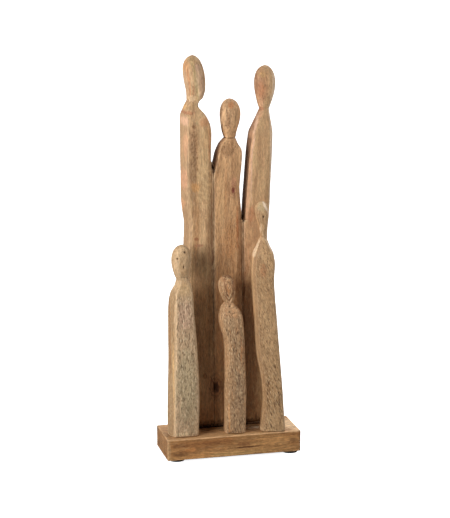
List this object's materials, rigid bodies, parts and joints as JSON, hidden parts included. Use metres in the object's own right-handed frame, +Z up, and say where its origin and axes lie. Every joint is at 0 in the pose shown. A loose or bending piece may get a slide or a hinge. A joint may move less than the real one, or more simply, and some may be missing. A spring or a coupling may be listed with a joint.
{
  "type": "wooden figure group on a base block",
  "caption": "Group of slender faceless wooden figures, tall ones side by side behind short ones, standing on a rectangular base block with round rubber pads.",
  "frame": {"origin": "middle of the footprint, on the surface the pads stand on", "axes": "+Z up along the figures, -Y towards the viewer of the front row, +X to that viewer's right"},
  "size_m": [0.19, 0.0734, 0.5538],
  "materials": {
    "base_wood": "oiled open-grained hardwood, planed and sanded, worn at the edges",
    "back_left_wood": "oiled open-grained hardwood, planed and sanded, worn at the edges",
    "back_middle_wood": "oiled open-grained hardwood, planed and sanded, worn at the edges",
    "back_right_wood": "oiled open-grained hardwood, planed and sanded, worn at the edges",
    "front_left_wood": "oiled open-grained hardwood, planed and sanded, worn at the edges",
    "front_middle_wood": "oiled open-grained hardwood, planed and sanded, worn at the edges",
    "front_right_wood": "oiled open-grained hardwood, planed and sanded, worn at the edges",
    "pad_rubber": "matt black rubber"
  },
  "bodies": {
    "root": {"base_block": "base_wood", "front_left_pad": "pad_rubber", "front_right_pad": "pad_rubber", "back_left_pad": "pad_rubber", "back_right_pad": "pad_rubber", "back_left_figure": "back_left_wood", "back_middle_figure": "back_middle_wood", "back_right_figure": "back_right_wood", "front_left_figure": "front_left_wood", "front_middle_figure": "front_middle_wood", "front_right_figure": "front_right_wood"}
  },
  "joints": []
}
